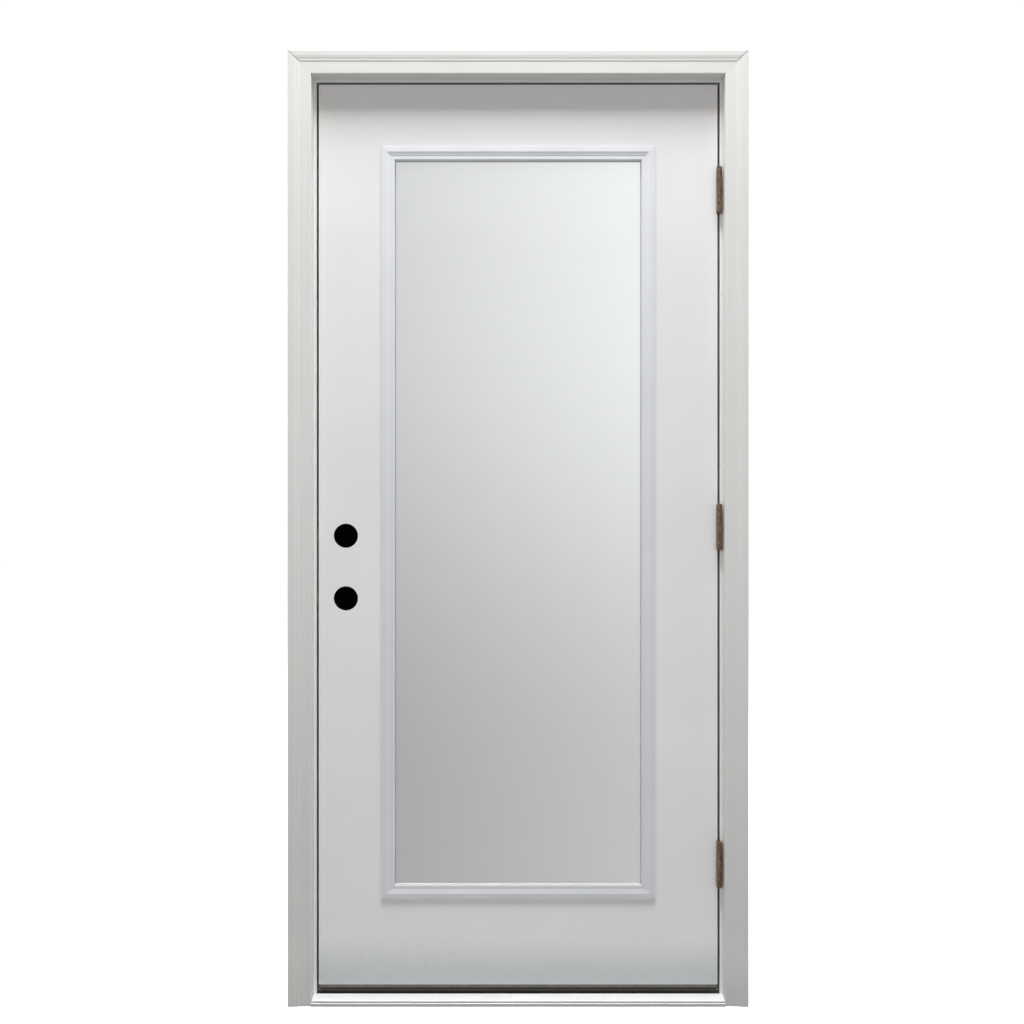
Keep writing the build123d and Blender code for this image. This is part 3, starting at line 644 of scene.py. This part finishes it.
def spun(outline, centre, axis, steps=48):
    """An outline of (radius, height) turned round an axis: centre + radius (cos a, sin a) + height."""
    radius, height = np.array(outline).T
    angle = np.arange(steps) * 2 * pi / steps
    up = np.array([[1, 0, 0], [0, 1, 0], [0, 0, 1]]["xyz".index(axis)], float)
    across = np.roll(up, 1)
    beside = np.cross(up, across)
    ring = np.cos(angle)[:, None] * across + np.sin(angle)[:, None] * beside
    return np.array(centre) + radius[:, None, None] * ring + height[:, None, None] * up


# Mouldings and seals

CASING_PROFILE = rounded([
    (0, 0, 0.2), (0, 29.4, 1.5), (24.8, 29.7, 0.3), (28.6, 30.5, 0.3), (31.9, 30.55, 0.4),
    (34.2, 31.0, 1), (39.7, 31.5, 1.0), (50.8, 31.65, 1.3), (50.8, 0, 0.2),
])
LITE_PROFILE = rounded([
    (0, 0, 0.2), (0, 3.35, 0.35), (6.0, 3.6, 3), (10.6, 3.85, 1.2), (12.5, 3.7, 0.7), (16.4, 2.75, 0.6),
    (18.8, 2.5, 0.5), (21.4, 1.85, 0.3), (28.2, 1.95, 0.8), (29.6, 1.3, 0.5), (29.8, -9.4, 0.2),
    (24.9, -9.4, 0.2), (24.9, -21.9, 0.4), (16, -21.9, 0.4), (16, 0, 0.2),
])
BEAD_PROFILE = rounded([
    (29.6, -9.5, 0.1), (29.6, -8.2, 0.2), (30.0, -8.2, 0.2), (31.2, -9.5, 0.2),
], steps=4)
STRIP_PROFILE = rounded([
    (0.2, 54, 0.1), (0.2, 50.4, 1), (2.4, 47.7, 2), (6.4, 44.9, 2), (12.5, 47.4, 2.6),
    (12.3, 54, 0.3), (3.5, 54, 0.1), (3.5, 60.5, 0.2), (2.4, 61.9, 0.3), (1.3, 60.5, 0.2),
    (1.3, 54, 0.1),
])


def casings():
    """Two legs and a head, each its profile carried along the opening's edge and mitred on top."""
    out = (0, -1, 0)
    for name, side in (("left", -1), ("right", 1)):
        leg = Piece()
        foot, top = (side * CASING_IN_X, 0, 0), (side * CASING_IN_X, 0, CASING_IN_Z)
        leg.add(carried(CASING_PROFILE, foot, top, (side, 0, 0), out, (0, 1)))
        leg.finish("casing_leg_" + name, "door_frame", "painted_casing", CASING_PAINT,
                   ["casing_" + name])
    head = Piece()
    left, right = (-CASING_IN_X, 0, CASING_IN_Z), (CASING_IN_X, 0, CASING_IN_Z)
    head.add(carried(CASING_PROFILE, left, right, (0, 0, 1), out, (-1, 1)))
    head.finish("casing_top", "door_frame", "painted_casing", CASING_PAINT, ["casing_head"])


def add_picture_frame(piece, profile, face_y, out):
    """Four mitred lengths round the light: u runs from the outer edge inwards, v stands off face_y."""
    corners = np.array([(-1, 0, -1), (1, 0, -1), (1, 0, 1), (-1, 0, 1)])
    corners = corners * (LITE_X, 0, LITE_HALF_H) + (0, face_y, LITE_Z)
    inwards = [(0, 0, 1), (-1, 0, 0), (0, 0, -1), (1, 0, 0)]
    for n in range(4):
        piece.add(carried(profile, corners[n], corners[(n + 1) % 4], inwards[n], (0, out, 0), (1, -1)))


def lite_mouldings():
    """Both mouldings and their sealant, which the glass doesn't mirror: real glass hardly does."""
    for name, face_y, out in (("outdoor", 0.0, -1), ("indoor", LEAF_T, 1)):
        ring, bead = Piece(), Piece()
        add_picture_frame(ring, LITE_PROFILE, face_y, out)
        moulding = ring.finish("lite_moulding_" + name, "door_leaf", "white_plastic", LITE_PLASTIC,
                               ["lite_frame_" + name])
        add_picture_frame(bead, BEAD_PROFILE, face_y, out)
        sealant = bead.finish("glazing_bead_" + name, "door_leaf", "foam_seal", GLAZING_SEALANT)
        moulding.visible_glossy = sealant.visible_glossy = False


def screw_caps():
    """Small domed caps on the indoor moulding's lip, 240 mm apart on the sides and 200 mm across."""
    caps = Piece()
    dome = np.array([(0.1, 3.8), (1.6, 3.7), (2.8, 3.45), (3.5, 3.1), (3.6, 2.1), (0.1, 2.1)]) * MM
    reach_x, reach_z = LITE_X - 25.0 * MM, LITE_HALF_H - 25.0 * MM
    spots = [(side * reach_x, z) for z in np.linspace(-0.72, 0.72, 7) for side in (-1, 1)]
    spots += [(x, side * reach_z) for x in np.linspace(-0.2, 0.2, 3) for side in (-1, 1)]
    for x, z in spots:
        caps.add(spun(dome, (x, LEAF_T, LITE_Z + z), "y", steps=24))
    caps.finish("lite_screw_caps", "door_leaf", "white_plastic", LITE_PLASTIC).visible_glossy = False


def weatherstrips():
    """The bulb seal's profile carried up both jambs and across the head, mitred in the corners."""
    back = (0, 1, 0)
    for name, side in (("strike", -1), ("hinge", 1)):
        strip = Piece()
        foot, top = (side * OPENING_X, 0, RISER_Z), (side * OPENING_X, 0, HEAD_Z)
        strip.add(carried(STRIP_PROFILE, foot, top, (-side, 0, 0), back, (0, -1)))
        strip.finish("seal_" + name, "door_frame", "foam_seal", SEAL_FOAM, ["weatherstrip_" + name])
    strip = Piece()
    left, right = (-OPENING_X, 0, HEAD_Z), (OPENING_X, 0, HEAD_Z)
    strip.add(carried(STRIP_PROFILE, left, right, (0, 0, -1), back, (1, -1)))
    strip.finish("seal_head", "door_frame", "foam_seal", SEAL_FOAM, ["weatherstrip_head"])


# Hinges

def plate_outline(inset):
    """The plate seen from its face, as (depth, height): square in front, two large corners behind."""
    end, half, r = (PLATE_END_Y - inset) / MM, (HINGE_H / 2 - inset) / MM, (PLATE_CORNER_R - inset) / MM
    return rounded([(0, -half, 0.05), (end, -half, r), (end, half, r), (0, half, 0.05)], steps=14)


def add_plate(piece, face_x, inward, z):
    """A flush plate with its face's rim eased by a quarter round of 0.5 mm."""
    ease = 0.5 * MM
    layers = [(0.0, ease)] + [(ease * (1 - np.cos(t)), ease * (1 - np.sin(t)))
                              for t in np.linspace(0, pi / 2, 5)[1:]] + [(PLATE_T, 0.0)]
    rows = []
    for depth, inset in layers:
        y, height = plate_outline(inset).T
        rows.append(np.stack([np.full_like(y, face_x + inward * depth), y, z + height], axis=1))
    piece.add(np.stack(rows))


def add_knuckle(piece, low, high, bore, seam):
    """A rolled barrel: its ends chamfered, its wall scored by a seam at one angle.

    The seam is deepest at its angle and climbs straight to nothing at its reach on both sides.
    """
    soft, seam_depth, seam_reach = 0.35 * MM, 0.5 * MM, 0.07
    outline = [
        (bore, low + soft), (bore + soft, low), (KNUCKLE_R - soft, low), (KNUCKLE_R, low + soft),
        (KNUCKLE_R, low + 2 * soft), (KNUCKLE_R, high - 2 * soft),
        (KNUCKLE_R, high - soft), (KNUCKLE_R - soft, high), (bore + soft, high), (bore, high - soft),
    ]
    steps = 96
    angle = np.arange(steps) * 2 * pi / steps
    away = np.abs((angle - seam + pi) % (2 * pi) - pi)
    score = seam_depth * np.clip(1 - away / seam_reach, 0, 1)
    barrel = spun(outline, (HINGE_X, HINGE_Y, 0), "z", steps)
    spoke = barrel - (HINGE_X, HINGE_Y, 0)
    spoke[:, :, 2] = 0
    radius = np.linalg.norm(spoke, axis=2, keepdims=True)
    outer = radius > KNUCKLE_R - 1.5 * soft
    piece.add(barrel - spoke / radius * score[None, :, None] * outer, wrap_rows=True)


def add_tongue(piece, face_x, inward, low, high):
    """The strip between plate and barrel, its outer side swelling onto the barrel."""
    shape = rounded([(0, 1.0, 0.1), (0, -6.0, 0.1), (3.3, -6.0, 0.1), (2.4, -1.8, 2.0), (2.4, 1.0, 0.1)])
    piece.add(carried(shape, (face_x, 0, low), (face_x, 0, high), (inward, 0, 0), (0, 1, 0)))


def add_screw(piece, face_x, out, y, z):
    """A screw head 0.35 mm proud, its cross recess two crossing bands 0.3 mm deep."""
    radii = np.array([0.05, 0.4, 0.7, 1.0, 1.4, 1.8, 2.2, 2.5, 2.8, 3.3, 3.8, 4.2, 4.2, 0.05])
    rise = np.array([0.35, 0.35, 0.35, 0.35, 0.35, 0.35, 0.35, 0.35, 0.34, 0.31, 0.24, 0.05, -0.8, -0.8])
    head = spun(np.stack([radii, rise * out], axis=1) * MM, (face_x, y, z), "x", steps=64)
    beside, up = np.abs(head[..., 1] - y), np.abs(head[..., 2] - z)
    narrow, reach = np.minimum(beside, up), np.maximum(beside, up)
    in_band = np.clip((0.75 * MM - narrow) / (0.25 * MM), 0, 1)
    in_cross = np.clip((2.7 * MM - reach) / (0.4 * MM), 0, 1)
    head[..., 0] -= out * 0.3 * MM * in_band * in_cross * (rise > 0)[:, None]
    piece.add(head)


def hinges():
    """Three hinges: five knuckles each, the first, third and fifth on the frame's plate."""
    frame_side, leaf_side, rods = Piece(), Piece(), Piece()
    frame_screws, leaf_screws = Piece(), Piece()
    holes = [(12.0, 38.0), (12.0, -38.0), (27.0, 13.0), (27.0, -13.0)]
    for z in HINGE_ZS:
        tops = z + HINGE_H / 2 - np.arange(KNUCKLES) * KNUCKLE_PITCH
        lows = tops - KNUCKLE_PITCH + KNUCKLE_GAP
        for n in range(KNUCKLES):
            side, face_x, inward, bore, seam = (
                (leaf_side, LEAF_X, -1, PIN_R + 0.08 * MM, 2.2) if n % 2
                else (frame_side, OPENING_X, 1, PIN_R + 0.02 * MM, 0.9)
            )
            add_knuckle(side, lows[n], tops[n], bore, seam)
            add_tongue(side, face_x, inward, lows[n] + 0.05 * MM, tops[n] - 0.05 * MM)
        add_plate(frame_side, OPENING_X, 1, z)
        add_plate(leaf_side, LEAF_X, -1, z)
        for y, height in holes:
            add_screw(frame_screws, OPENING_X, -1, y * MM, z + height * MM)
            add_screw(leaf_screws, LEAF_X, 1, y * MM, z + height * MM)
        half, tip = HINGE_H / 2, HINGE_H / 2 + TIP_H
        edge = 0.6 * MM
        end = [(TIP_R, half), (TIP_R, tip - edge), (TIP_R - edge / 3, tip - edge / 3),
               (TIP_R - edge, tip), (0.05 * MM, tip)]
        rod = [(r, -h) for r, h in end[::-1]] + [(PIN_R, -half), (PIN_R, half)] + end
        rods.add(spun(rod, (HINGE_X, HINGE_Y, z), "z", steps=40))
    frame_side.finish("hinge_frame_sides", "door_frame", "bronze_steel", BRONZE,
                      ["hinge_frame_halves"])
    leaf_side.finish("hinge_leaf_sides", "door_leaf", "bronze_steel", BRONZE, ["hinge_leaf_halves"])
    rods.finish("hinge_rods", "door_frame", "bronze_steel", BRONZE, ["hinge_pins"])
    frame_screws.finish("hinge_frame_screws", "door_frame", "bronze_steel", BRONZE)
    leaf_screws.finish("hinge_leaf_screws", "door_leaf", "bronze_steel", BRONZE)


def lock_hole_shade_plugs():
    """A sleeve with a web in the middle of each lock hole, so that both ends look black and deep: a dark
    transport plug standing in for the shade inside the hole.
    """
    plugs = Piece()
    rim, inner, centre = BORE_R - 0.05 * MM, BORE_R - 1.2 * MM, 0.2 * MM
    front, back = 1.0 * MM, LEAF_T - 1.0 * MM
    web_front, web_back = LEAF_T / 2 - 2 * MM, LEAF_T / 2 + 2 * MM
    outline = [(centre, web_front), (inner, web_front), (inner, front), (rim, front), (rim, back),
               (inner, back), (inner, web_back), (centre, web_back)]
    for z in BORE_ZS:
        plugs.add(spun(outline, (BORE_X, 0, z), "y"))
    plugs.finish("lock_hole_shade_plugs", "door_leaf", "dark_vinyl", bore_shade_black())


casings()
lite_mouldings()
screw_caps()
weatherstrips()
hinges()
lock_hole_shade_plugs()


# Studio: a white surround, a pale floor, soft light from above

def sky():
    """White to the camera; other rays see a soft room with a bright card straight ahead.

    The room's light is 0.25, a little more above eye level, twice as strong straight below
    and three times as strong far to both sides, and all of it is brighter in mirrors. The card,
    as large as the glass reflects, climbs from 0.58 to 0.94 and is brighter to the right.
    """
    world = bpy.data.worlds.new("studio")
    bpy.context.scene.world = world
    world.use_nodes = True
    room = Sheet(world.node_tree)
    right, _, up = room.axes(room.put("ShaderNodeTexCoord"))
    room_light = 0.25 + up.climb(-0.5, -0.95) * 0.26 + up.climb(-0.26, 0.22) * 0.03
    room_light = room_light * (1.0 + abs(right).climb(0.6, 0.95) * 2.0)
    mirrored = room.put("ShaderNodeLightPath", output="Is Glossy Ray")
    room_light = room_light * (1.0 + mirrored * 0.7)
    card_light = (0.575 + up.climb(-0.28, 0.28) * 0.365) * (1.0 + right * 1.2)
    card = abs(right).climb(0.35, 0.18) * abs(up).climb(0.65, 0.42)
    level = room_light + card * (card_light - room_light)
    soft = room.put("ShaderNodeBackground", values={"Color": (0.985, 1, 0.995, 1), "Strength": level})
    plain = room.put("ShaderNodeBackground", values={"Color": (1, 1, 1, 1), "Strength": 1.05})
    seen = room.put("ShaderNodeLightPath")
    both = room.put("ShaderNodeMixShader", values={0: seen, 1: soft, 2: plain})
    room.put("ShaderNodeOutputWorld", values={"Surface": both})


def floor():
    """A level sheet just under the door, shown to the camera alone and glowing to near white."""
    reach = 30.0
    mesh = bpy.data.meshes.new("floor")
    corners = np.array([(-1, -1, 0), (1, -1, 0), (1, 1, 0), (-1, 1, 0)]) * reach
    mesh.from_pydata(corners.tolist(), [], [(0, 1, 2, 3)])
    sheet = bpy.data.objects.new("floor", mesh)
    bpy.context.scene.collection.objects.link(sheet)
    finish = Finish("pale floor", Roughness=0.9, Specular_IOR_Level=0.0,
                    Emission_Color=(1, 1, 1, 1), Emission_Strength=0.66)
    grain = finish.noise(finish.place(), 3.0, 3.0)
    finish.feed(Base_Color=finish.blend(grain, tint(247, 247, 247), tint(250, 250, 250)))
    mesh.materials.append(finish.material)
    sheet.visible_transmission = False
    sheet.visible_glossy = False
    sheet.visible_diffuse = False


def lamp(name, place, aim, width, height, power, spread=180):
    """A soft rectangular light at a place, turned to an aim; spread narrows its beam, in degrees."""
    light = bpy.data.lights.new(name, "AREA")
    light.shape = "RECTANGLE"
    light.size, light.size_y = width, height
    light.energy = power
    light.spread = radians(spread)
    holder = bpy.data.objects.new(name, light)
    bpy.context.scene.collection.objects.link(holder)
    holder.location = place
    holder.rotation_mode = "QUATERNION"
    holder.rotation_quaternion = (Vector(aim) - Vector(place)).to_track_quat("-Z", "Y")


def camera():
    """Level, straight at the door, as far away as the photograph was taken from, at eye level."""
    distance, eye_level = 2.160, 1.0507
    data = bpy.data.cameras.new("camera")
    data.sensor_width, data.lens = 36.0, 34.05
    data.shift_x, data.shift_y = -0.0060, 0.0166
    data.clip_start, data.clip_end = 0.01, 100.0
    holder = bpy.data.objects.new("camera", data)
    bpy.context.scene.collection.objects.link(holder)
    holder.location = (0.0, -distance, eye_level)
    holder.rotation_euler = (pi / 2, 0, 0)
    bpy.context.scene.camera = holder


sky()
floor()
lamp("overhead", (0.0, -0.915, 5.2), (0.0, -0.83, 0.0), 2.2, 1.05, 275.0)
lamp("sill", (0.0, -0.42, 3.0), (0.0, -0.018, 0.02), 1.1, 0.08, 0.15, spread=14)
lamp("behind", (0.0, 3.0, 3.4), (0.0, 0.1, 0.9), 2.4, 1.6, 70.0)
camera()
bpy.context.scene.view_settings.view_transform = "Standard"
